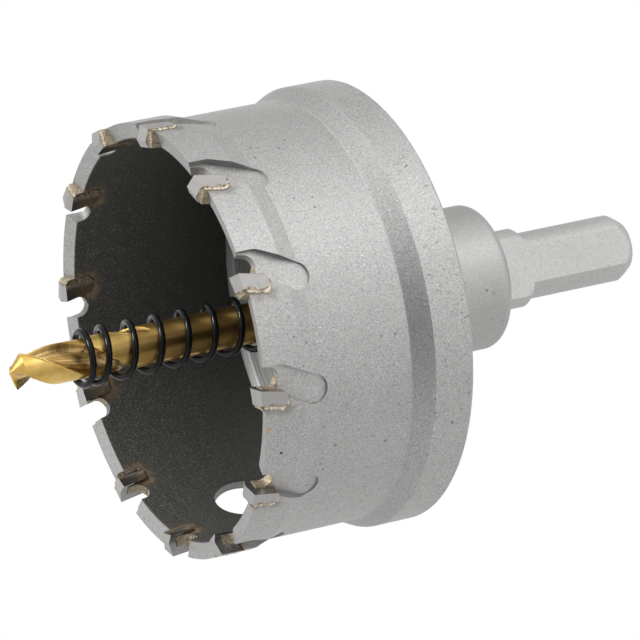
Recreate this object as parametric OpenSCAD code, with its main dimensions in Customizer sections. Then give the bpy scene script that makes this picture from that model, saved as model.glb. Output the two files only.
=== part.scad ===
/* [Cup] */
// Diameter that the carbide tips cut
cutting_d = 65; // [50:1:100]
// How far each tip stands out past the rim, to the side
tip_side_clearance = 0.4; // [0.15:0.05:0.6]
// Wall of the cup at the rim
rim_wall = 2.45; // [1.8:0.05:4]
// How far the body is turned down behind the rim band
body_step = 0.85; // [0.2:0.05:1.2]
// Length of the rim band, from the rim
rim_band_l = 6.2; // [5:0.1:8]
// Length of the conical step behind the rim band
step_l = 2.8; // [1:0.1:4]
// How far the inner edge of the rim is set back from its outer edge
rim_setback = 0.7; // [0.2:0.05:1.2]
// Length of the cup, from the cutting points to its back face
cup_l = 34.7; // [33:0.1:60]
// Thickness of the cup's base
base_t = 6; // [4:0.1:9]
// Chamfer in the corner between the base and the inner wall
inner_chamfer = 1.2; // [0.5:0.1:2.5]
// How far the flange stands out past the body
flange_stand = 1.55; // [0.8:0.05:3]
// Length of the straight part of the flange
flange_l = 6.3; // [4:0.1:9]
// Length of the flange's front chamfer
flange_chamfer_l = 3.1; // [2:0.1:4.5]
// Broken edge on the back of the flange
flange_edge = 0.4; // [0.2:0.05:1]

/* [Side hole] */
// Diameter of the hole for levering out the plug
side_hole_d = 10.6; // [8:0.2:12]
// Distance of the side hole's centre behind the cutting points
side_hole_at = 17.3; // [16.5:0.1:20]
// Turn of the side hole from straight down
side_hole_turn = -2.8; // [-4:0.1:2]

/* [Teeth] */
// Number of teeth
tooth_count = 12; // [6:1:16]
// Turn of the teeth from an even spread about straight down
tooth_turn = -1.7; // [-15:0.1:15]
// How far the cutting points stand ahead of the rim
tip_ahead = 1.45; // [1.2:0.05:2.4]
// Length of a tip, along the axis
tip_l = 5.2; // [4.5:0.1:6.5]
// Thickness of a tip, around the rim
tip_t = 2.3; // [1.6:0.1:3]
// Width of a tip, across the wall
tip_w = 3.3; // [3:0.1:4.8]
// Rake of the cutting face
rake = 11; // [5:1:15]
// Distance of the cutting point from the tip's outer face
point_inset = 2.1; // [1.5:0.05:2.6]
// How far the outer facet falls back from the cutting point
outer_facet_fall = 0.6; // [0.3:0.05:0.9]
// How far the inner facet falls back from the cutting point
inner_facet_fall = 0.5; // [0.2:0.05:0.9]
// Relief of the tip behind its cutting edge, at the front
front_relief = 5; // [2:1:10]
// Relief of the tip behind its cutting edge, at the sides
side_relief = 7; // [4:1:9]
// Radius of the tip's two rear corners
tip_corner_r = 0.9; // [0.4:0.05:1]
// Thickness of the braze between a tip and its seat
braze_t = 0.2; // [0.1:0.05:0.4]
// Thickness of the braze that has crept up the cutting face
braze_skin = 0.12; // [0.08:0.02:0.3]
// How far the braze has crept up the cutting face from the gullet
braze_creep = 0.9; // [0.3:0.1:1.2]
// Size of the braze fillet behind a tip, on the rim
braze_fillet = 0.4; // [0.3:0.05:0.8]

/* [Gullets] */
// Width of the gullet in front of a tip
gullet_w = 3.1; // [3:0.1:4.6]
// Depth of the gullet behind the rim
gullet_depth = 2.4; // [2:0.1:3.4]
// Width of the shallow pocket milled behind the gullet
pocket_w = 4.2; // [3.6:0.1:5.4]
// How far the pocket's middle lies off the gullet's middle, towards the tip
pocket_offset = 0.6; // [0:0.1:1.2]
// Distance of the pocket's far end behind the cutting points
pocket_end = 11.7; // [11.4:0.1:14]
// Angle of the pocket to the axis
pocket_slant = 26; // [15:1:32]
// Depth of the pocket's floor at the rim
pocket_depth = 0.95; // [0.9:0.05:1.3]
// Lean of the pocket's floor, which gets deeper towards its far end
pocket_lean = 1.5; // [0.5:0.5:3]

/* [Arbor] */
// Diameter of the collar
collar_d = 21.7; // [20:0.1:30]
// Length of the collar
collar_l = 19.7; // [16:0.1:26]
// Radius of the collar's back edge
collar_edge_r = 1.8; // [0.5:0.1:3]
// Diameter of the spigot that fills the hole in the cup's base
spigot_d = 16; // [14:0.5:18]
// Clearance round the spigot
spigot_fit = 0.03; // [0.01:0.01:0.1]
// Diameter of the neck
neck_d = 12.4; // [11.5:0.1:15]
// Length of the neck
neck_l = 6.8; // [5:0.1:12]
// Radius of the neck's back edge
neck_edge_r = 1.8; // [0.5:0.1:2.4]
// Diameter of the shank
shank_d = 10; // [8:0.5:11]
// Length of the shank
shank_l = 17.6; // [14:0.2:40]
// Length of the chamfer on the shank's end
shank_chamfer_l = 2; // [0.5:0.1:3]
// Depth of the chamfer on the shank's end
shank_chamfer_d = 1.3; // [0.4:0.1:2]
// Depth of each of the three flats, below the shank's surface
flat_depth = 0.8; // [0.4:0.05:1.1]
// Turn of the flats against the teeth
flat_turn = -124; // [-180:1:180]

/* [Pilot drill] */
// Diameter of the pilot drill
pilot_d = 6; // [5:0.1:7]
// How far the drill's point stands ahead of the cutting points
pilot_ahead = 22.9; // [19:0.1:30]
// Length of the drill that the arbor holds
pilot_held = 26; // [21:0.5:30]
// Clearance round the drill in the arbor
pilot_fit = 0.03; // [0.01:0.01:0.1]
// Length of the flutes, from the point
flute_l = 22; // [16:0.5:26]
// Length along which the flutes run out
flute_runout = 10; // [2:0.5:12]
// Length of one whole turn of a flute
flute_lead = 30; // [20:1:45]
// Thickness of the web between the flutes
web_t = 1.3; // [0.8:0.1:2]
// Angle of the drill's point
point_angle = 130; // [110:1:150]
// Turn of the flutes at the drill's point
flute_turn = 20; // [0:5:180]
// Depth of the flat that the grub screw bears on
drill_flat_depth = 0.5; // [0.3:0.05:0.9]
// Length of that flat
drill_flat_l = 9; // [7:0.5:12]

/* [Ejector spring] */
// Diameter of the spring's wire
wire_d = 1; // [0.6:0.05:1.3]
// Gap between the spring and the drill
spring_gap = 0.35; // [0.2:0.05:1]
// How far the spring stands ahead of the cutting points
spring_ahead = 12.6; // [8:0.1:16]
// Number of turns
spring_turns = 11; // [7:1:14]
// Turn at which the wire starts, at the front
spring_start = 90; // [0:10:350]

/* [Grub screw] */
// Diameter of the grub screw
screw_d = 5; // [4:0.5:6]
// Width of its hexagon socket, across the flats
socket_w = 2.5; // [2:0.1:3]
// Depth of the socket
socket_depth = 2.6; // [1.5:0.1:3]
// How far the screw sits below the collar's surface
screw_sunk = 0.8; // [0.3:0.1:1.5]
// Clearance round the screw
screw_fit = 0.05; // [0.02:0.01:0.1]
// Distance of the screw behind the collar's front face
screw_at = 9.5; // [7:0.5:10]
// Turn of the screw against the teeth
screw_turn = 56; // [0:1:180]

/* [Hidden] */
eps = 0.01;
past = 1;
seat_gap = 0.03;
steel = [0.70, 0.69, 0.68];
carbide = [0.62, 0.63, 0.65];
braze_gold = [0.80, 0.66, 0.36];
titanium_gold = [0.80, 0.62, 0.28];
spring_black = [0.10, 0.10, 0.11];
screw_black = [0.16, 0.16, 0.17];

tip_r = cutting_d / 2;
rim_r = tip_r - tip_side_clearance;
bore_r = rim_r - rim_wall;
body_r = rim_r - body_step;
flange_r = body_r + flange_stand;

rim_z = tip_ahead;
band_z = rim_z + rim_band_l;
step_z = band_z + step_l;
floor_z = cup_l - base_t;
flange_z = cup_l - flange_l;
collar_z = cup_l + collar_l;
neck_z = collar_z + neck_l;
shank_z = neck_z + shank_l;

gullet_z = rim_z + gullet_depth;
gullet_r = gullet_w / 2;
pocket_r = pocket_w / 2;
pocket_end_z = pocket_end - pocket_r;
pocket_behind_gullet = 1.6;
pocket_start_z = gullet_z - gullet_r + pocket_behind_gullet;
pocket_y = pocket_offset - gullet_r;
pocket_run = pocket_end_z - pocket_start_z;
pocket_end_y = pocket_y + pocket_run * tan(pocket_slant);
wall_out = tip_r + past;
wall_in = bore_r - past;
tooth_phase = 180 / tooth_count + tooth_turn;

pilot_r = pilot_d / 2;
pilot_bore_r = pilot_r + pilot_fit;
pilot_back_z = floor_z + pilot_held;
pilot_end_gap = 0.5;
pilot_bore_z = pilot_back_z + pilot_end_gap;
flat_count = 3;
flat_r = shank_d / 2 - flat_depth;
shank_crown_r = 12;
screw_z = cup_l + screw_at;
drill_flat_r = pilot_r - drill_flat_depth;
screw_in = drill_flat_r + screw_fit;
screw_out = collar_d / 2 - screw_sunk;

coil_r = pilot_r + spring_gap + wire_d / 2;
coil_front_z = -spring_ahead + wire_d / 2;
coil_travel = floor_z - seat_gap + spring_ahead - wire_d;
closed_turns = 0.4;
ramp_turns = 1.4;
closed_pitch_share = 1.04;
closed_pitch = wire_d * closed_pitch_share;
open_turns = spring_turns - 2 * closed_turns - ramp_turns;
open_pitch = closed_pitch + (coil_travel - closed_pitch * spring_turns) / open_turns;
coil_steps = 24;
wire_sides = 8;

chisel_r = 0.2;
point_rings = 6;
drill_sides = 44;
drill_rings = 40;
flute_cut_share = 0.78;
flute_cut_r = pilot_r * flute_cut_share;
flute_cut_at = web_t / 2 + flute_cut_r;

// Name of one of the repeated pieces, counted from 01.
function numbered(name, i) = str(name, i < 9 ? "_0" : "_", i + 1);

// Points of an arc about a centre, from one angle to another.
function arc(centre, r, from, to, steps = 6) =
    [for (i = [0:steps]) let (a = from + (to - from) * i / steps)
        [centre[0] + r * cos(a), centre[1] + r * sin(a)]];

// Lays the tool on its side: the axis along X, the shank's end at the origin.
module laid() {
    translate([-shank_z, 0, 0]) rotate([0, 90, 0]) children();
}

// Turns to one tooth. Its cutting edge is on the local X axis and faces -Y.
module at_tooth(i) {
    rotate([0, 0, tooth_phase + i * 360 / tooth_count]) children();
}

// Carries an outline drawn in Y and Z out through the wall.
module through_wall(from = wall_in, to = wall_out) {
    translate([from, 0, 0]) rotate([90, 0, 90]) linear_extrude(to - from) children();
}

// Outline of a tip seen from the side, grown at its back and trailing side.
module tip_outline(grow = 0) {
    rear = tip_l + grow;
    side = tip_t + grow;
    r = tip_corner_r + grow;
    rotate(-rake) polygon(concat(
        [[0, -past], [0, rear - tip_corner_r]],
        [for (p = arc([tip_corner_r, rear - tip_corner_r], tip_corner_r, 180, 90)) p],
        [for (p = arc([side - r, rear - r], r, 90, 0)) p],
        [[side, -past]]));
}

// Outline of the gullet, from the leading side into the seat.
module gullet_outline() {
    rotate(-rake) {
        translate([-gullet_w, -past]) square([gullet_w + tip_t / 2, gullet_z - gullet_r + past]);
        translate([-gullet_r, gullet_z - gullet_r]) circle(gullet_r, $fn = 48);
        translate([-gullet_r, -past]) square([gullet_r + tip_t / 2, gullet_z + past]);
    }
}

// Outline of the pocket up to its round end: a slot that starts at the gullet and slants back.
module pocket_outline() {
    slant_l = pocket_run / cos(pocket_slant);
    translate([pocket_y, pocket_start_z]) {
        circle(pocket_r, $fn = 48);
        translate([-pocket_r, -pocket_start_z - past]) square([pocket_w, pocket_start_z + past]);
        rotate(-pocket_slant) translate([-pocket_r, 0]) square([pocket_w, slant_l]);
    }
}

// Outline of the braze bed behind and beside the tip.
module bed_outline() {
    difference() {
        tip_outline(braze_t);
        tip_outline();
        rotate(-rake) translate([-past, -2 * past]) square([2 * tip_t, rim_z - braze_fillet + 2 * past]);
    }
}

// Outline of the braze that rounds the gullet's corner and creeps up the cutting face.
module corner_outline() {
    rotate(-rake) translate([-gullet_r, gullet_z - gullet_r]) difference() {
        translate([0, -braze_creep]) square([gullet_r, gullet_r + braze_creep]);
        circle(gullet_r - braze_skin, $fn = 48);
        translate([-past, -2 * past]) square([gullet_r - braze_skin + past, 2 * past]);
    }
}

// Outline of the braze fillet between the tip's back and the rim.
module fillet_outline() {
    rotate(-rake) translate([tip_t + braze_t, rim_z - braze_fillet]) difference() {
        square([braze_fillet, braze_fillet + rim_setback + past]);
        translate([braze_fillet, 0]) circle(braze_fillet, $fn = 32);
    }
}

// The turned cup before its teeth are cut.
module cup_blank() {
    rotate_extrude($fn = 128) polygon([
        [bore_r, rim_z + rim_setback], [rim_r, rim_z],
        [rim_r, band_z], [body_r, step_z],
        [body_r, flange_z - flange_chamfer_l], [flange_r, flange_z],
        [flange_r, cup_l - flange_edge], [flange_r - flange_edge, cup_l],
        [spigot_d / 2 + spigot_fit, cup_l], [spigot_d / 2 + spigot_fit, floor_z],
        [bore_r - inner_chamfer, floor_z], [bore_r, floor_z - inner_chamfer]]);
}

// Puts a cut on the pocket's floor, which leans inwards towards its far end.
module on_pocket_floor() {
    translate([rim_r - pocket_depth, 0, rim_z]) rotate([0, -pocket_lean, 0])
        translate([0, 0, -rim_z]) children();
}

// The slot of the pocket.
module pocket_cut() {
    on_pocket_floor() through_wall(0, tip_r) pocket_outline();
}

// The pocket's round end, a hair wider than the slot, where the cutter is lifted out.
module pocket_end_cut() {
    on_pocket_floor() translate([0, pocket_end_y, pocket_end_z]) rotate([0, 90, 0])
        cylinder(r = pocket_r + seat_gap, h = tip_r, $fn = 48);
}

// The cut through the wall at one tooth: seat and gullet.
module tooth_cut() {
    through_wall() {
        tip_outline(braze_t);
        gullet_outline();
    }
}

// The ring of the wall near the rim.
module wall_ring() {
    rotate_extrude($fn = 128) translate([bore_r, 0]) square([rim_wall, 2 * tip_l]);
}

module cup() {
    color(steel) laid() difference() {
        cup_blank();
        for (i = [0:tooth_count - 1]) at_tooth(i) tooth_cut();
        for (i = [0:tooth_count - 1]) at_tooth(i) pocket_cut();
        for (i = [0:tooth_count - 1]) at_tooth(i) pocket_end_cut();
        rotate([0, 0, side_hole_turn]) translate([wall_in, 0, side_hole_at]) rotate([0, 90, 0])
            cylinder(d = side_hole_d, h = wall_out - wall_in, $fn = 64);
    }
}

// Neck and shank before the flats, in section. The shank's end is slightly crowned.
module shank_outline() {
    neck_r = neck_d / 2;
    shank_r = shank_d / 2;
    start_z = collar_z - collar_edge_r;
    crown_x = shank_r + 2 * eps - shank_chamfer_d / 2;
    crown_z = shank_z - shank_chamfer_l / 2;
    slope = atan2(shank_chamfer_d, shank_chamfer_l);
    half = norm([shank_chamfer_d, shank_chamfer_l]) / 2;
    reach = sqrt(pow(shank_crown_r, 2) - pow(half, 2));
    translate([0, start_z]) square([neck_r, neck_z - neck_edge_r - start_z]);
    intersection() {
        translate([neck_r - neck_edge_r, neck_z - neck_edge_r]) circle(neck_edge_r, $fn = 48);
        translate([0, start_z]) square([neck_r + past, neck_z - start_z]);
    }
    translate([0, start_z]) square([shank_r, shank_z - shank_chamfer_l - start_z]);
    intersection() {
        translate([crown_x - reach * cos(slope), crown_z - reach * sin(slope)])
            circle(shank_crown_r, $fn = 128);
        translate([0, shank_z - shank_chamfer_l]) square([shank_r, shank_chamfer_l]);
    }
}

// Neck and shank with their flats. They start inside the collar.
module flatted_shank() {
    start_z = collar_z - collar_edge_r;
    difference() {
        rotate_extrude($fn = 96) shank_outline();
        for (i = [0:flat_count - 1]) rotate([0, 0, flat_turn + i * 360 / flat_count])
            translate([flat_r, -neck_d, start_z - past])
                cube([neck_d, 2 * neck_d, shank_z - start_z + 2 * past]);
    }
}

// Spigot and collar in section, the collar's back edge rounded.
module collar_outline() {
    collar_r = collar_d / 2;
    translate([0, floor_z]) square([spigot_d / 2, base_t + past]);
    translate([0, cup_l]) square([collar_r, collar_l - collar_edge_r]);
    translate([0, cup_l]) square([collar_r - collar_edge_r, collar_l]);
    intersection() {
        translate([collar_r - collar_edge_r, collar_z - collar_edge_r]) circle(collar_edge_r, $fn = 48);
        translate([0, cup_l]) square([collar_r + past, collar_l]);
    }
}

// Arbor: spigot, collar, neck and three-flat shank, turned in one piece.
module arbor() {
    color(steel) laid() difference() {
        union() {
            rotate_extrude($fn = 96) collar_outline();
            flatted_shank();
        }
        translate([0, 0, floor_z - past])
            cylinder(r = pilot_bore_r, h = pilot_bore_z - floor_z + past, $fn = 64);
        rotate([0, 0, screw_turn]) translate([0, 0, screw_z]) rotate([0, 90, 0])
            cylinder(d = screw_d + 2 * screw_fit, h = collar_d, $fn = 48);
    }
}

// Radius of the fluted section at one angle. The flutes are round and fade out by the given share.
function flute_r(angle, fade) =
    let (a = abs(angle % 180 - 90),
         at = flute_cut_at + fade * (pilot_r + flute_cut_r - flute_cut_at),
         side = at * sin(a),
         edge = pilot_r - eps)
    side >= flute_cut_r ? edge : min(edge, at * cos(a) - sqrt(pow(flute_cut_r, 2) - pow(side, 2)));

// One ring of the fluted part, limited by the cone of the point.
function drill_ring(z) =
    let (cone_r = chisel_r + z * tan(point_angle / 2),
         fade = max(0, (z - flute_l + flute_runout) / flute_runout))
    [for (i = [0:drill_sides - 1]) let (a = i * 360 / drill_sides, r = min(flute_r(a, fade), cone_r))
        [r * cos(a + flute_turn + z * 360 / flute_lead),
         r * sin(a + flute_turn + z * 360 / flute_lead), z]];

// Skins a stack of rings, each with the same number of points, into one solid.
module skinned(rings) {
    n = len(rings[0]);
    last = len(rings) - 1;
    points = [for (ring = rings) each ring];
    sides = [for (j = [0:last - 1]) for (i = [0:n - 1]) let (k = (i + 1) % n)
        each [[j * n + i, (j + 1) * n + i, (j + 1) * n + k], [j * n + i, (j + 1) * n + k, j * n + k]]];
    front_cap = [for (i = [0:n - 1]) i];
    back_cap = [for (i = [0:n - 1]) last * n + n - 1 - i];
    polyhedron(points, concat(sides, [front_cap], [back_cap]));
}

// Pilot drill: fluted front, plain shank with a flat for the grub screw.
module pilot_drill() {
    point_l = pilot_r / tan(point_angle / 2);
    levels = concat(
        [for (i = [0:point_rings]) point_l * i / point_rings],
        [for (i = [1:drill_rings]) point_l + (flute_l + past - point_l) * i / drill_rings]);
    color(titanium_gold) laid() difference() {
        union() {
            translate([0, 0, -pilot_ahead]) skinned([for (z = levels) drill_ring(z)]);
            translate([0, 0, flute_l - pilot_ahead])
                cylinder(r = pilot_r, h = pilot_back_z - flute_l + pilot_ahead, $fn = 64);
        }
        rotate([0, 0, screw_turn])
            translate([drill_flat_r, -pilot_r, screw_z - drill_flat_l / 2])
                cube([pilot_r, pilot_d, drill_flat_l]);
    }
}

// How far the open pitch has run after a number of turns, from the nearer end.
function open_run(turns) =
    turns < closed_turns ? 0
    : turns < closed_turns + ramp_turns ? pow(turns - closed_turns, 2) / (2 * ramp_turns)
    : turns - closed_turns - ramp_turns / 2;

// Distance of the wire's centre behind the spring's front, after a number of turns.
function coil_z(turns) =
    let (run = turns < spring_turns / 2 ? open_run(turns) : open_turns - open_run(spring_turns - turns))
    closed_pitch * turns + (open_pitch - closed_pitch) * run;

// Ejector spring: left-hand coil with closed ends, between the arbor and the plug.
module ejector_spring() {
    count = spring_turns * coil_steps;
    rings = [for (i = [0:count]) let (turns = i / coil_steps, a = spring_start - turns * 360)
        [for (k = [0:wire_sides - 1]) let (b = k * 360 / wire_sides, r = coil_r + wire_d / 2 * cos(b))
            [r * cos(a), r * sin(a), coil_front_z + coil_z(turns) + wire_d / 2 * sin(b)]]];
    color(spring_black) laid() skinned(rings);
}

// Grub screw in the collar, which clamps the drill.
module grub_screw() {
    color(screw_black) laid() rotate([0, 0, screw_turn]) translate([0, 0, screw_z]) rotate([0, 90, 0])
        difference() {
            translate([0, 0, screw_in]) cylinder(d = screw_d, h = screw_out - screw_in, $fn = 48);
            translate([0, 0, screw_out - socket_depth])
                cylinder(d = socket_w / cos(30), h = socket_depth + past, $fn = 6);
        }
}

// One carbide tip: a block with a rounded back, ground at the front and the sides.
module carbide_tip(i) {
    inner_x = tip_r - tip_w;
    point_x = tip_r - point_inset;
    reach = 2 * tip_t + past;
    fall = tan(side_relief);
    color(carbide) laid() at_tooth(i) intersection() {
        through_wall() tip_outline();
        rotate([front_relief, 0, 0]) translate([0, reach, 0]) rotate([90, 0, 0])
            linear_extrude(2 * reach) polygon([
                [inner_x - past, inner_facet_fall * (tip_w - point_inset + past) / (tip_w - point_inset)],
                [point_x, 0],
                [tip_r + past, outer_facet_fall * (point_inset + past) / point_inset],
                [tip_r + past, 3 * tip_l], [inner_x - past, 3 * tip_l]]);
        translate([0, 0, -past]) linear_extrude(2 * tip_l) polygon([
            [inner_x - fall * past, -past], [tip_r + fall * past, -past],
            [tip_r - fall * reach, reach], [inner_x + fall * reach, reach]]);
    }
}

// Braze of one tip, flush with the wall inside and outside and with the pocket's floor.
module braze(i) {
    color(braze_gold) laid() at_tooth(i) {
        difference() {
            intersection() {
                through_wall() bed_outline();
                wall_ring();
            }
            pocket_cut();
        }
        difference() {
            intersection() {
                through_wall() corner_outline();
                wall_ring();
            }
            pocket_cut();
        }
        difference() {
            intersection() {
                through_wall() fillet_outline();
                wall_ring();
            }
            cup_blank();
        }
    }
}

cup();
arbor();
pilot_drill();
ejector_spring();
grub_screw();
for (i = [0:tooth_count - 1]) carbide_tip(i);
for (i = [0:tooth_count - 1]) braze(i);
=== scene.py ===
import math
import random

import bmesh
import bpy
from mathutils import Matrix, Vector


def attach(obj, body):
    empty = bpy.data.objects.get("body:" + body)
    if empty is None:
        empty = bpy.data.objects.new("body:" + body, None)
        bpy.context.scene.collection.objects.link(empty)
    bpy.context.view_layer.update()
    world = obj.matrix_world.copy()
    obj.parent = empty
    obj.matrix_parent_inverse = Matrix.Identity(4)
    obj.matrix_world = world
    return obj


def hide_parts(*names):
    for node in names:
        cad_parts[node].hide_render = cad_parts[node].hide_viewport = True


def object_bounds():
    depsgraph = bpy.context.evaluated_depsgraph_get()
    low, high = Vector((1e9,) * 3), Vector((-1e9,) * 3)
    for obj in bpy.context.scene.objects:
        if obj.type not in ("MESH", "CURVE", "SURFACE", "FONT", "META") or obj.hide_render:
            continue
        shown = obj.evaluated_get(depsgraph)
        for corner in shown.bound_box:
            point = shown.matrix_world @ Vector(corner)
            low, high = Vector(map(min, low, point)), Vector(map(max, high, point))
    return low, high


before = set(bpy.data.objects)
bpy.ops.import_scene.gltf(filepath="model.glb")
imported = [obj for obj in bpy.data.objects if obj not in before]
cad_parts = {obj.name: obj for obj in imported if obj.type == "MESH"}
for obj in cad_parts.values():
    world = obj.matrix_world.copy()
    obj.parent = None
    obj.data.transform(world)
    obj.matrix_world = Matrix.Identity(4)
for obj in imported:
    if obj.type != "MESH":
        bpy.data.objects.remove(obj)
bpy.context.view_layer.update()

# Sizes from the part's source, in millimetres and degrees.
# Places along the tool are distances behind the cutting points.
MM = 0.001
SHANK_Z = 78.8
CUP_L, BASE_T, CHAMFER = 34.7, 6.0, 1.2
COLLAR_L, COLLAR_R = 19.7, 10.85
RIM_R, BORE_R, RIM_Z, RIM_SETBACK = 32.1, 29.65, 1.45, 0.7
HOLE_FRONT, HOLE_BACK = 11.5, 23.0
TOOTH_COUNT, TOOTH_PHASE, RAKE = 12, 13.3, 11.0
TIP_L, TIP_T = 5.2, 2.3
POCKET_END_Y, POCKET_END_Z, POCKET_R = 1.83, 9.6, 2.1
PITCH = 2 * math.pi * RIM_R / TOOTH_COUNT
PILOT_R, PILOT_AHEAD, PILOT_HELD, FLUTE_L, FLUTE_RUNOUT = 3.0, 22.9, 26.0, 22.0, 10.0
FLUTE_LEAD, FLUTE_TURN, WEB_T, POINT_ANGLE, CHISEL_R = 30.0, 20.0, 1.3, 130.0, 0.2
POINT_L = PILOT_R / math.tan(math.radians(POINT_ANGLE / 2))
WIRE_R, COIL_R, SPRING_TURNS, SPRING_AHEAD, SPRING_START = 0.5, 3.85, 11, 12.6, 90
CLOSED_TURNS, RAMP_TURNS, CLOSED_PITCH = 0.4, 1.4, 1.04
SEAT_GAP = 0.03

# Colours of the surfaces.
# Milled steel is darker than the steel: painted shade on the walls of pockets and gullets.
STEEL, SHADED_MILLED_STEEL, TURNED_STEEL = (0.385, 0.383, 0.378), (0.33, 0.328, 0.322), (0.36, 0.358, 0.352)
# The pocket end colour is painted shade for the ring at each pocket's rounded end.
POCKET_END_SHADE, BLACK_COAT = (0.16, 0.159, 0.156), (0.066, 0.065, 0.060)
HEAT_NEAR, HEAT_FAR = (0.25, 0.18, 0.11), (0.110, 0.072, 0.038)
HEAT_OUTSIDE, HALO = (0.30, 0.24, 0.17), (0.20, 0.19, 0.175)
# The front colours are painted dark reflection on the ground cutting faces, browner further back.
CARBIDE, FRONT_REFLECTION_NEAR, FRONT_REFLECTION_FAR = (0.375, 0.368, 0.362), (0.24, 0.236, 0.23), (0.20, 0.145, 0.085)
SMEAR_DARK, SMEAR_LIGHT = (0.20, 0.14, 0.075), (0.46, 0.38, 0.26)
SOOT_NEAR, SOOT_FAR = (0.075, 0.066, 0.052), (0.18, 0.13, 0.075)
SEAM_DARK, SEAM_LIGHT, BRAZE_EDGE = (0.20, 0.165, 0.12), (0.46, 0.39, 0.28), (0.12, 0.092, 0.065)
CREST_DARK, CREST_LIGHT, BRAZE_INSIDE = (0.36, 0.30, 0.225), (0.68, 0.60, 0.50), (0.19, 0.135, 0.085)
# The gold inside the cup is darker and browner: painted shade.
GOLD_DEEP, GOLD_PALE, GOLD_SHADED_INSIDE = (0.72, 0.465, 0.125), (0.83, 0.58, 0.19), (0.55, 0.325, 0.11)
# In the flutes, the dark colour is painted dark reflection and the light one is painted highlight along the
# grinding lines.
FLUTE_DARK_REFLECTION, FLUTE_HIGHLIGHT = (0.28, 0.17, 0.065), (0.80, 0.56, 0.28)
BLACK_PAINT, PAPER = (0.006, 0.006, 0.006), (0.93, 0.93, 0.93)

# Where stains and painted shades begin and where they are at their strongest, in millimetres.
STAIN_REACH, COAT_DEPTH_SHADE, BASE_TOP_SHADE = (10.5, 7.5), (28.0, 4.0), (-20.0, 2.0)
SHADED_SIDE, DRILL_SHADE = (11.0, 0.0), (-9.0, 7.0)

# Two small marks near the cup's rim, a gold speck and a dark pit: place and size in millimetres, and colour.
MARKS = (
    ((-77.1, -31.95, 3.12), 0.58, (0.48, 0.36, 0.16)),
    ((-74.78, -32.08, -1.12), 0.48, (0.03, 0.03, 0.03)))


class Graph:
    """Makes shader nodes in the node tree of a material or a world."""

    def __init__(self, owner):
        owner.use_nodes = True
        self.owner, self.tree = owner, owner.node_tree
        self.tree.nodes.clear()
        self.coord = self.node("ShaderNodeTexCoord")

    def node(self, kind, **attrs):
        made = self.tree.nodes.new(kind)
        for k, v in attrs.items():
            setattr(made, k, v)
        return made

    def put(self, socket, value):
        if isinstance(value, V):
            self.tree.links.new(value.socket, socket)
        else:
            socket.default_value = value

    def math(self, op, *args):
        made = self.node("ShaderNodeMath", operation=op)
        for i, a in enumerate(args):
            self.put(made.inputs[i], a)
        return V(self, made.outputs[0])

    def vec(self, op, *args, out=0):
        made = self.node("ShaderNodeVectorMath", operation=op)
        for i, a in enumerate(args):
            self.put(made.inputs[i], a)
        return V(self, made.outputs[out])

    def split(self, v):
        made = self.node("ShaderNodeSeparateXYZ")
        self.put(made.inputs[0], v)
        return [V(self, o) for o in made.outputs]

    def join(self, x, y, z):
        made = self.node("ShaderNodeCombineXYZ")
        for i, a in enumerate((x, y, z)):
            self.put(made.inputs[i], a)
        return V(self, made.outputs[0])

    def place(self):
        """The point on the object, in millimetres."""
        return self.vec("MULTIPLY", V(self, self.coord.outputs["Object"]), (1000, 1000, 1000))

    def facing(self):
        return V(self, self.coord.outputs["Normal"])

    def noise(self, at, scale, detail=2.0, rough=0.5):
        made = self.node("ShaderNodeTexNoise")
        self.put(made.inputs["Vector"], at)
        made.inputs["Scale"].default_value = scale
        made.inputs["Detail"].default_value = detail
        made.inputs["Roughness"].default_value = rough
        return V(self, made.outputs["Fac"])

    def cells(self, at, scale):
        made = self.node("ShaderNodeTexVoronoi", feature="F1")
        self.put(made.inputs["Vector"], at)
        made.inputs["Scale"].default_value = scale
        return V(self, made.outputs["Distance"])

    def step(self, x, lo, hi):
        """0 at lo, 1 at hi, smooth between; lo may be the larger."""
        made = self.node("ShaderNodeMapRange", interpolation_type="SMOOTHSTEP")
        ends = (1.0, 0.0) if lo > hi else (0.0, 1.0)
        for i, a in enumerate((x, min(lo, hi), max(lo, hi), *ends)):
            self.put(made.inputs[i], a)
        return V(self, made.outputs[0])

    def mix(self, share, a, b):
        made = self.node("ShaderNodeMix", data_type="RGBA")
        self.put(made.inputs[0], share)
        for i, c in ((6, a), (7, b)):
            self.put(made.inputs[i], c if isinstance(c, V) else (*c, 1.0))
        return V(self, made.outputs[2])

    def tint(self, colour, amount):
        """Multiplies a colour by a number that varies over the surface."""
        made = self.node("ShaderNodeVectorMath", operation="SCALE")
        self.put(made.inputs[0], colour)
        self.put(made.inputs["Scale"], amount)
        return V(self, made.outputs[0])

    def finish(self, colour, metallic, roughness, height=None, bump=0.1, specular=0.5, lengthwise=0.0):
        """Ends a material. With lengthwise above 0, its highlights are drawn out along the tool's axis."""
        shader = self.node("ShaderNodeBsdfPrincipled")
        self.put(shader.inputs["Base Color"], colour if isinstance(colour, V) else (*colour, 1.0))
        self.put(shader.inputs["Metallic"], metallic)
        self.put(shader.inputs["Roughness"], roughness)
        shader.inputs["Specular IOR Level"].default_value = specular
        if lengthwise:
            round_x = self.node("ShaderNodeTangent", direction_type="RADIAL", axis="X")
            self.tree.links.new(round_x.outputs[0], shader.inputs["Tangent"])
            shader.inputs["Anisotropic Rotation"].default_value = 0.25
            shader.inputs["Anisotropic"].default_value = lengthwise
        if height is not None:
            made = self.node("ShaderNodeBump")
            made.inputs["Strength"].default_value = bump
            made.inputs["Distance"].default_value = MM
            self.put(made.inputs["Height"], height)
            self.tree.links.new(made.outputs[0], shader.inputs["Normal"])
        out = self.node("ShaderNodeOutputMaterial")
        self.tree.links.new(shader.outputs[0], out.inputs[0])
        return self.owner


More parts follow.
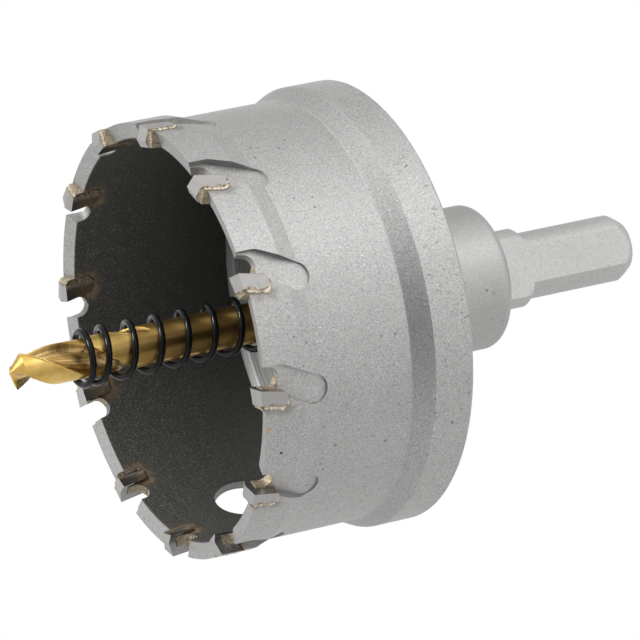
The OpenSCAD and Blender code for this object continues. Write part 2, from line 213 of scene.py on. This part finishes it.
class V:
    """A number, vector or colour that a node puts out."""

    def __init__(self, graph, socket):
        self.g, self.socket = graph, socket

    def __add__(self, o):
        return self.g.math("ADD", self, o)

    def __sub__(self, o):
        return self.g.math("SUBTRACT", self, o)

    def __rsub__(self, o):
        return self.g.math("SUBTRACT", o, self)

    def __mul__(self, o):
        return self.g.math("MULTIPLY", self, o)

    __radd__, __rmul__ = __add__, __mul__

    def __truediv__(self, o):
        return self.g.math("DIVIDE", self, o)

    def max(self, o):
        return self.g.math("MAXIMUM", self, o)

    def abs(self):
        return self.g.math("ABSOLUTE", self)


def material_graph(name):
    return Graph(bpy.data.materials.new(name))


def tool_coords(g):
    """Distance behind the cutting points, radius, and place round the rim from the nearest cutting edge."""
    x, y, z = g.split(g.place())
    radius = g.math("SQRT", y * y + z * z)
    turn = g.math("ARCTAN2", y, z * -1.0) * (TOOTH_COUNT / (2 * math.pi)) - TOOTH_PHASE * TOOTH_COUNT / 360
    share = g.math("FRACT", turn + 0.5) - 0.5
    return x + SHANK_Z, radius, share * PITCH


def tip_distance(g, behind, along):
    """Distance from the outline of the nearest tip, and the place in the tip's own directions."""
    c, s = math.cos(math.radians(RAKE)), math.sin(math.radians(RAKE))
    across = along * c - behind * s
    back = along * s + behind * c
    side = (across * -1.0).max(across - TIP_T).max(0.0)
    rear = (back - TIP_L).max(0.0)
    return g.math("SQRT", side * side + rear * rear), across, back


def blasted_tone(g, grain, fine, calm, flange):
    """Brightness of blasted steel, and its pits alone. Calm surfaces have less grain and fainter flecks."""
    at = g.place()
    cloud = g.noise(at, 0.12)
    scuffed = g.step(g.noise(at, 0.22, 1.0), 0.48, 0.60) * flange
    pits = g.step(g.noise(at, 2.1) + scuffed * 0.10, 0.71, 0.76)
    patchy = g.step(g.noise(at, 0.16, 1.0), 0.50, 0.62)
    flecks = g.step(g.noise(at, 3.6, 1.0, 0.4) + patchy * 0.06, 0.745, 0.79)
    blotch = g.noise(at, 0.7, 3.0, 0.6)
    dots = g.step(g.cells(at, 0.55) + blotch * 0.1, 0.20, 0.12) * g.step(g.noise(at, 0.13, 1.0), 0.52, 0.66)
    grainy = (grain * 1.20 + fine * 0.70 - 0.95) * (1.0 - calm)
    bright = cloud * 0.10 + blotch * 0.10 + flecks * 0.6 * (1.0 - calm * 2.0)
    return 0.98 + grainy + bright - pits * 0.35 - dots * 0.55, pits


def pocket_look(g, colour, behind, along, cup_wall, land):
    """Lays cutter marks and painted shade on milled faces, more painted shade on the near walls that face a
    tip, and a dark ring of painted shade at each pocket's end. Also gives the milled share.
    """
    y, z = g.split(g.place())[1:]
    ny, nz = g.split(g.facing())[1:]
    radius = g.math("SQRT", y * y + z * z)
    outward = (ny * y + nz * z) / radius
    milled = g.step(outward.abs(), 0.45, 0.25) * cup_wall * (1.0 - land)
    towards_tip = g.step((ny * z * -1.0 + nz * y) / radius, 0.4, 0.8) * g.step(along, 0.0, -1.0)
    shaded = towards_tip * g.step(y, *SHADED_SIDE)
    marks = g.noise(g.join(behind * 1.2, radius * 6.0, along * 1.2), 1.0)
    colour = g.mix(milled, colour, g.tint(SHADED_MILLED_STEEL, 0.55 + marks * 0.9 - shaded * 0.3))
    # A dark ring at each pocket's rounded end: painted shade.
    from_end = g.vec("LENGTH", g.join(along - POCKET_END_Y, behind - POCKET_END_Z, 0.0), out=1)
    rim = g.step(from_end, POCKET_R - 1.1, POCKET_R) * g.step(from_end, POCKET_R + 0.1, POCKET_R)
    rim = rim * g.step(behind, POCKET_END_Z, POCKET_END_Z + 1.2)
    return g.mix(rim * cup_wall * 0.12, colour, POCKET_END_SHADE), milled


def black_inside(g, behind, radius):
    """Colour of the black coat in the cup: specks and turning rings, with painted shade that darkens the coat
    and its specks towards the base.
    """
    at = g.place()
    x = g.split(at)[0]
    speck = g.step(g.noise(at, 6.0, 1.0), 0.50, 0.72)
    rings = g.step(g.noise(g.join(x * 5.0, radius, 0.0), 1.0, 1.0), 0.35, 0.65)
    lit_near_mouth = g.step(behind, *COAT_DEPTH_SHADE)
    return g.tint(BLACK_COAT, 0.42 + lit_near_mouth * 0.28 + speck * (1.2 + rings * 0.8) * (0.35 + lit_near_mouth * 0.9))


def heat_stains(g, colour, behind, along, inner):
    """Lays the stains of brazing round the tips, brown inside the cup and faint outside it."""
    ragged = g.noise(g.place(), 1.1, 3.0, 0.6)
    distance, across, _ = tip_distance(g, behind, along)
    stain = g.step(distance + ragged * 4.0, 4.4, 2.0) * g.step(behind, *STAIN_REACH)
    scorch = g.mix(g.step(distance + ragged * 3.0, 3.2, 1.8), HEAT_FAR, HEAT_NEAR)
    colour = g.mix(stain * inner * 0.75, colour, scorch)
    colour = g.mix(stain * (1.0 - inner) * 0.16, colour, HEAT_OUTSIDE)
    halo = g.step(distance + ragged * 2.4, 3.0, 1.7) * g.step(across, TIP_T - 0.5, TIP_T) * (1.0 - inner)
    return g.mix(halo * 0.55, colour, HALO)


def small_marks(g, colour):
    """Lays the two small marks on the steel, with ragged edges."""
    at = g.place()
    ragged = g.noise(at, 1.1, 3.0, 0.6)
    for spot, size, shown in MARKS:
        there = g.step(g.vec("DISTANCE", at, spot, out=1) + ragged * 0.3, size, size * 0.6)
        colour = g.mix(there, colour, shown)
    return colour


def blasted_steel():
    """Steel of the cup and arbor, with milled, turned and blackened surfaces told apart by their place."""
    g = material_graph("blasted_steel")
    at = g.place()
    z = g.split(at)[2]
    nx = g.split(g.facing())[0]
    behind, radius, along = tool_coords(g)
    grain = g.noise(at, 3.4, 3.0, 0.75)
    fine = g.noise(at, 4.7, 1.0)

    collar_end = CUP_L + COLLAR_L
    base_front = CUP_L - BASE_T - CHAMFER
    flange = g.step(radius, RIM_R + 0.4, RIM_R + 0.6)
    calm = g.step(radius, COLLAR_R + 0.5, COLLAR_R + 0.3) * 0.45
    shank = g.step(behind, collar_end - 0.1, collar_end + 0.1)
    # The chamfer up to the flange faces the mouth and is darkened there: painted shade.
    chamfer_shade = g.step(nx, -0.3, -0.4) * g.step(radius, RIM_R - 0.8, RIM_R - 0.7)
    chamfer_shade = chamfer_shade * g.step(behind, HOLE_BACK, HOLE_BACK + 1)
    tone, pits = blasted_tone(g, grain, fine, calm, flange)
    colour = g.tint(STEEL, tone * (1.0 + flange * 0.035 + shank * 0.17 - chamfer_shade * 0.10))

    cup_wall = g.step(radius, BORE_R, BORE_R + 0.05) * g.step(behind, HOLE_BACK, HOLE_BACK - 0.1)
    land_end = RIM_Z + RIM_SETBACK
    land = g.step(behind, land_end + 0.15, land_end) * g.step(nx, -0.75, -0.85)
    colour, milled = pocket_look(g, colour, behind, along, cup_wall, land)
    colour = g.tint(colour, 1.0 - land * cup_wall * 0.10)

    wall_skin = 0.15 + g.step(behind, HOLE_FRONT - 1, HOLE_FRONT) * 0.3
    in_cup = g.step(behind, CUP_L - 0.1, CUP_L - 0.2)
    inner = g.step(radius - wall_skin, BORE_R + 0.05, BORE_R - 0.05) * in_cup
    colour = g.mix(inner, colour, black_inside(g, behind, radius))
    # The bare turned base fades into the black coat towards its top: painted shade, by height.
    top_shade = g.step(z, *BASE_TOP_SHADE)
    base = g.step(behind, base_front - 0.05, base_front) * inner * (1.0 - top_shade * 0.85)
    lathe = g.step(g.noise(g.join(radius * 3.2, 0.0, 0.0), 1.0, 2.0, 0.6), 0.38, 0.62)
    colour = g.mix(base, colour, g.tint(TURNED_STEEL, 0.35 + lathe * 0.9 + grain * 0.3))
    inner = inner - base

    colour = small_marks(g, heat_stains(g, colour, behind, along, inner))
    metal = (1.0 - inner) * 0.90 - milled * 0.35 - base * 0.6
    rough = 0.46 + grain * 0.08 + milled * 0.1
    height = (grain * 0.06 + fine * 0.05) * (1.0 - calm) - pits * 0.05
    return g.finish(colour, metal, rough, height, 0.40)


def carbide():
    """Ground carbide: bright outside, braze-smeared at its edges, sooty inside, and mirror-like in front,
    where painted dark reflection darkens it.
    """
    g = material_graph("carbide")
    at = g.place()
    nx = g.split(g.facing())[0]
    behind, radius, along = tool_coords(g)
    _, across, back = tip_distance(g, behind, along)
    grain = g.noise(at, 6.0, 2.0, 0.6)
    cloud = g.noise(at, 0.9)
    ragged = g.noise(at, 1.3, 3.0, 0.65)
    colour = g.tint(CARBIDE, 0.78 + grain * 0.30 + cloud * 0.12)
    trailing = g.step(across, TIP_T - 0.9, TIP_T) * g.step(back, 0.6, 1.6)
    low = g.step(back, 1.2, 4.2) * g.step(radius, RIM_R + 0.25, RIM_R - 0.6)
    smear = g.step(ragged + low.max(trailing * 1.3) * 0.22, 0.62, 0.78)
    tan = g.mix(g.step(g.noise(at, 2.4, 2.0, 0.6), 0.4, 0.6), SMEAR_DARK, SMEAR_LIGHT)
    sooty = g.step(radius, BORE_R - 0.05, BORE_R - 0.2) * g.step(nx, -0.6, -0.3)
    soot = g.mix(g.step(back + ragged * 2.0, 1.6, 4.6), SOOT_NEAR, SOOT_FAR)
    colour = g.mix(sooty * 0.85, g.mix(smear * 0.8, colour, tan), soot)
    # The ground cutting face is darkened here: painted dark reflection.
    ground = g.step(across, 0.10, 0.03) * g.step(behind, 0.02, 0.10)
    dark = g.mix(g.step(back, 2.6, 4.6), FRONT_REFLECTION_NEAR, FRONT_REFLECTION_FAR)
    colour = g.mix(ground * 0.88, colour, g.tint(dark, 0.7 + ragged * 0.6))
    rough = 0.38 + grain * 0.1 + smear * 0.2 - ground * 0.22
    return g.finish(colour, 0.85, rough, grain * 0.02 + smear * 0.03, 0.25)


def braze():
    """Braze: pale where it stands out from the wall, with a dark edge, and browner inside the cup."""
    g = material_graph("braze")
    at = g.place()
    radius = tool_coords(g)[1]
    lump = g.noise(at, 1.3, 3.0, 0.6)
    fine = g.noise(at, 7.0, 2.0, 0.6)
    speck = g.noise(at, 4.5, 2.0, 0.6)
    lift = (radius - RIM_R).max(BORE_R - radius)
    edge = g.step(lift, -0.04, 0.02) * g.step(lift + lump * 0.1, 0.20, 0.06)
    seam = g.mix(g.step(speck + lump * 0.5, 0.60, 0.86), SEAM_DARK, SEAM_LIGHT)
    crest = g.mix(g.step(lump + speck * 0.6 - 0.3, 0.36, 0.54), CREST_DARK, CREST_LIGHT)
    gold = g.mix(g.step(lift, 0.0, 0.12), seam, crest)
    gold = g.mix(g.step(radius, BORE_R + 0.1, BORE_R - 0.05) * 0.75, gold, BRAZE_INSIDE)
    colour = g.tint(g.mix(edge, gold, BRAZE_EDGE), 0.60 + fine * 0.8)
    return g.finish(colour, 0.6, 0.50 + lump * 0.2, lump * 0.06 + speck * 0.05, 0.5)


def flute_lines(g, x, y, z):
    """Grinding lines that follow the flutes, lit up as painted highlight streaks: noise that is drawn out
    along their helix.
    """
    twist = x * (2 * math.pi / FLUTE_LEAD)
    cosine, sine = g.math("COSINE", twist), g.math("SINE", twist)
    unwound = g.join((y * cosine + z * sine) * 1.6, (z * cosine - y * sine) * 1.6, x * 0.06)
    return g.step(g.noise(unwound, 1.0, 2.0, 0.6), 0.42, 0.62)


def titanium_nitride():
    """Gold coating of the pilot drill: brushed lengthwise, with painted dark reflection and painted highlight
    streaks in its flutes, and painted shade inside the cup.
    """
    g = material_graph("titanium_nitride")
    at = g.place()
    x, y, z = g.split(at)
    behind, radius = tool_coords(g)[:2]
    streak = g.noise(g.join(x * 0.12, y * 2.2, z * 2.2), 1.0, 1.0)
    cloud = g.noise(at, 0.35, 3.0, 0.6)
    gold = g.mix(g.step(cloud, 0.35, 0.65), GOLD_DEEP, GOLD_PALE)
    cone_end = POINT_L - PILOT_AHEAD
    flute = g.step(radius, PILOT_R - 0.15, PILOT_R - 0.55) * g.step(behind, cone_end - 0.3, cone_end + 0.3)
    gold = g.mix(flute * 0.8, gold, g.mix(flute_lines(g, x, y, z), FLUTE_DARK_REFLECTION, FLUTE_HIGHLIGHT))
    # Inside the cup the drill turns darker and browner: painted shade.
    gold = g.mix(g.step(behind, *DRILL_SHADE) * 0.8, gold, GOLD_SHADED_INSIDE)
    colour = g.tint(gold, 0.85 + streak * 0.2)
    return g.finish(colour, 1.0, 0.28 + streak * 0.03, cloud * 0.01, 0.1, lengthwise=0.95)


def black_gloss(name, roughness):
    """Black finish of the spring and the grub screw."""
    g = material_graph(name)
    cloud = g.noise(g.place(), 1.6, 3.0, 0.6)
    colour = g.tint(BLACK_PAINT, 0.7 + cloud * 0.6)
    return g.finish(colour, 0.0, roughness + cloud * 0.08, cloud * 0.02, 0.2, specular=0.16)


MATERIALS = {
    "steel": blasted_steel(),
    "carbide": carbide(),
    "braze": braze(),
    "gold": titanium_nitride(),
    "spring": black_gloss("black_spring", 0.10),
    "screw": black_gloss("black_screw", 0.4)}


def dress(name, material):
    """Gives one material to every slot of a CAD piece."""
    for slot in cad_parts[name].material_slots:
        slot.material = MATERIALS[material]


dress("cup", "steel")
dress("arbor", "steel")
dress("pilot_drill", "gold")
dress("grub_screw", "screw")
for i in range(1, TOOTH_COUNT + 1):
    dress(f"carbide_tip_{i:02d}", "carbide")
    dress(f"braze_{i:02d}", "braze")


def laid(x, y, z):
    """A point as the source's modules have it, x down and z backwards, on the lying tool, in metres."""
    return Vector(((z - SHANK_Z) * MM, y * MM, -x * MM))


def tube(bm, rings):
    """Adds one closed tube that runs through rings of points."""
    verts = [[bm.verts.new(p) for p in ring] for ring in rings]
    count = len(rings[0])
    for a, b in zip(verts, verts[1:]):
        for k in range(count):
            bm.faces.new((a[k], b[k], b[(k + 1) % count], a[(k + 1) % count]))
    bm.faces.new(verts[0])
    bm.faces.new(list(reversed(verts[-1])))


def tubes_piece(name, tubes, material):
    """Makes one object of tubes; their four-sided faces are smooth and their ends are flat."""
    bm = bmesh.new()
    for rings in tubes:
        tube(bm, rings)
    bmesh.ops.recalc_face_normals(bm, faces=bm.faces)
    mesh = bpy.data.meshes.new(name)
    bm.to_mesh(mesh)
    bm.free()
    for face in mesh.polygons:
        face.use_smooth = len(face.vertices) == 4
    obj = bpy.data.objects.new(name, mesh)
    bpy.context.collection.objects.link(obj)
    mesh.materials.append(MATERIALS[material])
    return obj


def sharpen(obj, limit):
    """Marks edges sharp where the surface folds by more than the limit, in degrees."""
    bm = bmesh.new()
    bm.from_mesh(obj.data)
    for edge in bm.edges:
        edge.smooth = edge.calc_face_angle(0.0) < math.radians(limit)
    bm.to_mesh(obj.data)
    bm.free()


# Ejector spring: the same coil as in the source, with a round wire.
COIL_STEPS, WIRE_SIDES = 36, 14
COIL_FRONT = -SPRING_AHEAD + WIRE_R
COIL_TRAVEL = CUP_L - BASE_T - SEAT_GAP + SPRING_AHEAD - 2 * WIRE_R
OPEN_TURNS = SPRING_TURNS - 2 * CLOSED_TURNS - RAMP_TURNS
OPEN_PITCH = CLOSED_PITCH + (COIL_TRAVEL - CLOSED_PITCH * SPRING_TURNS) / OPEN_TURNS


def open_run(turns):
    """Turns of open coil up to a place: none in the closed end, then growing over the ramp."""
    if turns < CLOSED_TURNS:
        return 0.0
    if turns < CLOSED_TURNS + RAMP_TURNS:
        return (turns - CLOSED_TURNS) ** 2 / (2 * RAMP_TURNS)
    return turns - CLOSED_TURNS - RAMP_TURNS / 2


def coil_z(turns):
    """How far the coil has come along the axis after a number of turns."""
    run = open_run(turns) if turns < SPRING_TURNS / 2 else OPEN_TURNS - open_run(SPRING_TURNS - turns)
    return CLOSED_PITCH * turns + (OPEN_PITCH - CLOSED_PITCH) * run


def wire_ring(turns):
    """One ring of the wire, after a number of turns of the coil."""
    a = math.radians(SPRING_START - turns * 360)
    ring = []
    for k in range(WIRE_SIDES):
        b = 2 * math.pi * k / WIRE_SIDES
        out = COIL_R + WIRE_R * math.cos(b)
        z = COIL_FRONT + coil_z(turns) + WIRE_R * math.sin(b)
        ring.append(laid(out * math.cos(a), out * math.sin(a), z))
    return ring


coil = [wire_ring(i / COIL_STEPS) for i in range(SPRING_TURNS * COIL_STEPS + 1)]
spring = tubes_piece("spring_wire", [coil], "spring")
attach(spring, "root")
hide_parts("ejector_spring")

# Pilot drill: the same flutes as in the source, finer, with a margin along each land.
FLUTE_CUT_R = PILOT_R * 0.78
FLUTE_CUT_AT = WEB_T / 2 + FLUTE_CUT_R
MARGIN_TURN, CLEARANCE, INSET = 11.0, 0.09, 0.01
DRILL_SIDES, POINT_RINGS, FLUTE_RINGS, PAST_FLUTE = 240, 12, 190, 0.5
DRILL_FOLD = 32


def flute_r(angle, fade):
    """Radius of the drill's section at one angle: a round flute, a margin and a relieved land."""
    turn = angle % 180 - 90
    at = FLUTE_CUT_AT + fade * (PILOT_R + FLUTE_CUT_R - FLUTE_CUT_AT)
    edge_cos = (PILOT_R ** 2 + at ** 2 - FLUTE_CUT_R ** 2) / (2 * PILOT_R * at)
    flute_edge = math.degrees(math.acos(min(1.0, edge_cos)))
    on_margin = flute_edge <= turn <= flute_edge + MARGIN_TURN
    land = PILOT_R - INSET - (0.0 if on_margin else CLEARANCE * (1 - fade))
    across = at * math.sin(math.radians(abs(turn)))
    if across >= FLUTE_CUT_R:
        return land
    return min(land, at * math.cos(math.radians(turn)) - math.sqrt(FLUTE_CUT_R ** 2 - across ** 2))


def drill_ring(z):
    """One ring of the drill, at a distance behind its point."""
    cone_r = CHISEL_R + z * math.tan(math.radians(POINT_ANGLE / 2))
    fade = min(1.0, max(0.0, (z - FLUTE_L + FLUTE_RUNOUT) / FLUTE_RUNOUT))
    ring = []
    for k in range(DRILL_SIDES):
        turn = 360 * k / DRILL_SIDES
        r = min(flute_r(turn - FLUTE_TURN - z * 360 / FLUTE_LEAD, fade), cone_r)
        a = math.radians(turn)
        ring.append(laid(r * math.cos(a), r * math.sin(a), z - PILOT_AHEAD))
    return ring


levels = [POINT_L * i / POINT_RINGS for i in range(POINT_RINGS)]
levels += [POINT_L + (FLUTE_L + PAST_FLUTE - POINT_L) * i / FLUTE_RINGS for i in range(FLUTE_RINGS + 1)]
levels.append(PILOT_AHEAD + CUP_L - BASE_T + PILOT_HELD)
drill = tubes_piece("pilot_drill_fine", [[drill_ring(z) for z in levels]], "gold")
sharpen(drill, DRILL_FOLD)
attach(drill, "root")
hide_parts("pilot_drill")

# Braze beads along the trailing side and round the rear corner of each tip, outside and inside the wall.
BEAD_STEPS, BEAD_SIDES, BEAD_R, THINNEST = 72, 12, 0.25, 0.06
BEAD_START, BEAD_SHORT, BEAD_TAIL, BEND_R = 1.2, 0.8, 1.6, 0.9
BEAD_WIDE, BEAD_LOW = 1.6, 0.7
BEAD_STRAIGHT = TIP_L - BEAD_START - BEAD_SHORT
BEAD_L = TIP_L - BEAD_START + BEAD_TAIL
WAVES, WAVE_RATES, WAVE_SIZES = 6, (2.0, 13.0), (0.008, 0.028)

# For each wall: the radius of its bead, the share of the full thickness, and the gap to the tip's side.
WALLS = ((RIM_R - 0.03, 1.0, 0.16), (BORE_R + 0.05, 0.9, 0.08))


def bead_ring(t, tooth, wall_r, thick, offset, waves):
    """One ring of a bead, at a share t of its length."""
    rake = math.radians(RAKE)
    phase = math.radians(TOOTH_PHASE + tooth * 360 / TOOTH_COUNT)
    run = t * BEAD_L
    bend = max(0.0, run - BEAD_STRAIGHT) / BEND_R
    turned = min(bend, math.pi / 2)
    beyond = max(0.0, bend - math.pi / 2) * BEND_R
    back = BEAD_START + min(run, BEAD_STRAIGHT) + BEND_R * math.sin(turned)
    across = TIP_T + offset - BEND_R * (1 - math.cos(turned)) - beyond
    swell = sum(size * math.sin(rate * run + shift) for rate, shift, size in waves)
    taper = min(1.0, 6 * t + 0.25, 5 * (1 - t) + 0.25)
    r = max(THINNEST, (BEAD_R + swell) * thick * taper)
    ring = []
    for k in range(BEAD_SIDES):
        b = 2 * math.pi * k / BEAD_SIDES
        out = across + r * BEAD_WIDE * math.cos(b) * math.cos(turned)
        rear = back + r * BEAD_WIDE * math.cos(b) * math.sin(turned)
        y = out * math.cos(rake) + rear * math.sin(rake)
        z = rear * math.cos(rake) - out * math.sin(rake)
        around = phase + y / wall_r
        level = wall_r + r * BEAD_LOW * math.sin(b)
        ring.append(laid(level * math.cos(around), level * math.sin(around), z))
    return ring


def bead(name, tooth):
    """Two wavy beads of braze at one tip, one outside the wall and one inside it."""
    chance = random.Random(tooth)
    tubes = []
    for wall in WALLS:
        waves = [(chance.uniform(*WAVE_RATES), chance.uniform(0, 2 * math.pi), chance.uniform(*WAVE_SIZES))
                 for _ in range(WAVES)]
        tubes.append([bead_ring(i / BEAD_STEPS, tooth, *wall, waves) for i in range(BEAD_STEPS + 1)])
    return tubes_piece(name, tubes, "braze")


for i in range(TOOTH_COUNT):
    piece = bead(f"braze_bead_{i + 1:02d}", i)
    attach(piece, "root")

# Floor: pale paper that the camera sees as plain white, and the steel mirrors a little darker: in reflections
# it glows, dimmer over its rear half and with a dark patch, as painted reflection. In metres.
FLOOR_SIZE, FLOOR_GAP = 12, 0.00002
DARK_PATCH = (-0.27, -0.45, 0.0)
bpy.ops.mesh.primitive_plane_add(size=FLOOR_SIZE, location=(0, 0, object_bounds()[0][2] - FLOOR_GAP))
floor = bpy.context.object
floor.name = "floor"
g = material_graph("floor")
paper = g.finish(PAPER, 0.0, 0.9, specular=0.1)
output = next(n for n in g.tree.nodes if n.type == "OUTPUT_MATERIAL")
on_floor = V(g, g.coord.outputs["Object"])
path = g.node("ShaderNodeLightPath")
seen, mirrored = V(g, path.outputs["Is Camera Ray"]), V(g, path.outputs["Is Glossy Ray"])
# Painted reflection: a dimmer rear half and a dark patch, seen only in the steel's reflections.
rear_half = g.step(g.split(on_floor)[1], -0.05, 0.25)
dark_patch = g.step(g.vec("DISTANCE", on_floor, DARK_PATCH, out=1), 0.45, 0.10)
glow = g.node("ShaderNodeEmission")
g.put(glow.inputs["Strength"], seen + (1.0 - seen) * (0.92 - rear_half * 0.09 - dark_patch * 0.5))
blend = g.node("ShaderNodeMixShader")
g.put(blend.inputs[0], seen.max(mirrored))
g.tree.links.new(output.inputs[0].links[0].from_socket, blend.inputs[1])
g.tree.links.new(glow.outputs[0], blend.inputs[2])
g.tree.links.new(blend.outputs[0], output.inputs[0])
floor.data.materials.append(paper)

# Studio: a white sky with three bright patches, dark behind the camera and dim at the rear, and two lamps.
FRONT = Vector((-0.45, -0.83, 0.27)).normalized()
FRONT_RIGHT = Vector((0.52, -0.79, 0.33)).normalized()
OVERHEAD = Vector((0.44, -0.26, 0.86)).normalized()
OVERHEAD_LEFT = Vector((-0.32, 0.26, 0.91)).normalized()
MOUTH = Vector((-0.80, 0.30, 0.50)).normalized()
SKY_LEVEL, SKY_LEAST = 0.84, 0.02
LIT_POINT = Vector((-0.045, 0, 0))

world = bpy.data.worlds.new("studio")
bpy.context.scene.world = world
sky = Graph(world)
ray = V(sky, sky.coord.outputs["Generated"])


def patch(direction, start, full):
    """1 in one direction of the sky, 0 away from it."""
    return sky.step(sky.vec("DOT_PRODUCT", ray, tuple(direction), out=1), start, full)


rear = sky.step(sky.split(ray)[1], 0.3, 0.8)
strength = SKY_LEVEL + patch(OVERHEAD, 0.44, 0.98) * 0.43 - patch(FRONT, 0.79, 0.95) * 0.95 - rear * 0.14
strength = strength + patch(OVERHEAD_LEFT, 0.78, 0.98) * 0.40 + patch(FRONT_RIGHT, 0.80, 0.97) * 0.30
background = sky.node("ShaderNodeBackground")
background.inputs[0].default_value = (1, 1, 1, 1)
sky.put(background.inputs[1], strength.max(SKY_LEAST))
sky.tree.links.new(background.outputs[0], sky.node("ShaderNodeOutputWorld").inputs[0])


def lamp(name, direction, distance, size, power):
    """A round lamp that shines on the lit point, in metres and watts."""
    data = bpy.data.lights.new(name, "AREA")
    data.shape = "DISK"
    data.size, data.energy = size, power
    obj = bpy.data.objects.new(name, data)
    obj.location = LIT_POINT + direction * distance
    obj.rotation_mode = "QUATERNION"
    obj.rotation_quaternion = direction.to_track_quat("Z", "Y")
    bpy.context.collection.objects.link(obj)


lamp("key", OVERHEAD, 0.9, 0.5, 0.9)
lamp("mouth", MOUTH, 0.8, 0.25, 5.2)

# Camera: fitted to the photograph, with distances in millimetres and the focal length in pixels.
AZ, EL, ROLL = math.radians(-30.6829), math.radians(30.0094), math.radians(4.6535)
DIST, FOCAL_PX, AIM_X, AIM_Y = 861.74, 5865.03, -5.5350, -2.8339
PICTURE_PX, SENSOR = 640, 36
AIM = Vector((-45, 0, 0))

look = Vector((-math.sin(AZ) * math.cos(EL), math.cos(AZ) * math.cos(EL), -math.sin(EL)))
level_side = look.cross(Vector((0, 0, 1))).normalized()
level_up = level_side.cross(look)
right = level_side * math.cos(ROLL) + level_up * math.sin(ROLL)
top = -level_side * math.sin(ROLL) + level_up * math.cos(ROLL)
lens = bpy.data.cameras.new("camera")
lens.sensor_width = SENSOR
lens.lens = FOCAL_PX * SENSOR / PICTURE_PX
lens.clip_start, lens.clip_end = 0.05, 20
camera = bpy.data.objects.new("camera", lens)
bpy.context.collection.objects.link(camera)
stand = AIM + right * AIM_X + top * AIM_Y - look * DIST
camera.matrix_world = Matrix.Translation(stand * MM) @ Matrix((right, top, -look)).transposed().to_4x4()
bpy.context.scene.camera = camera
bpy.context.scene.view_settings.view_transform = "Standard"
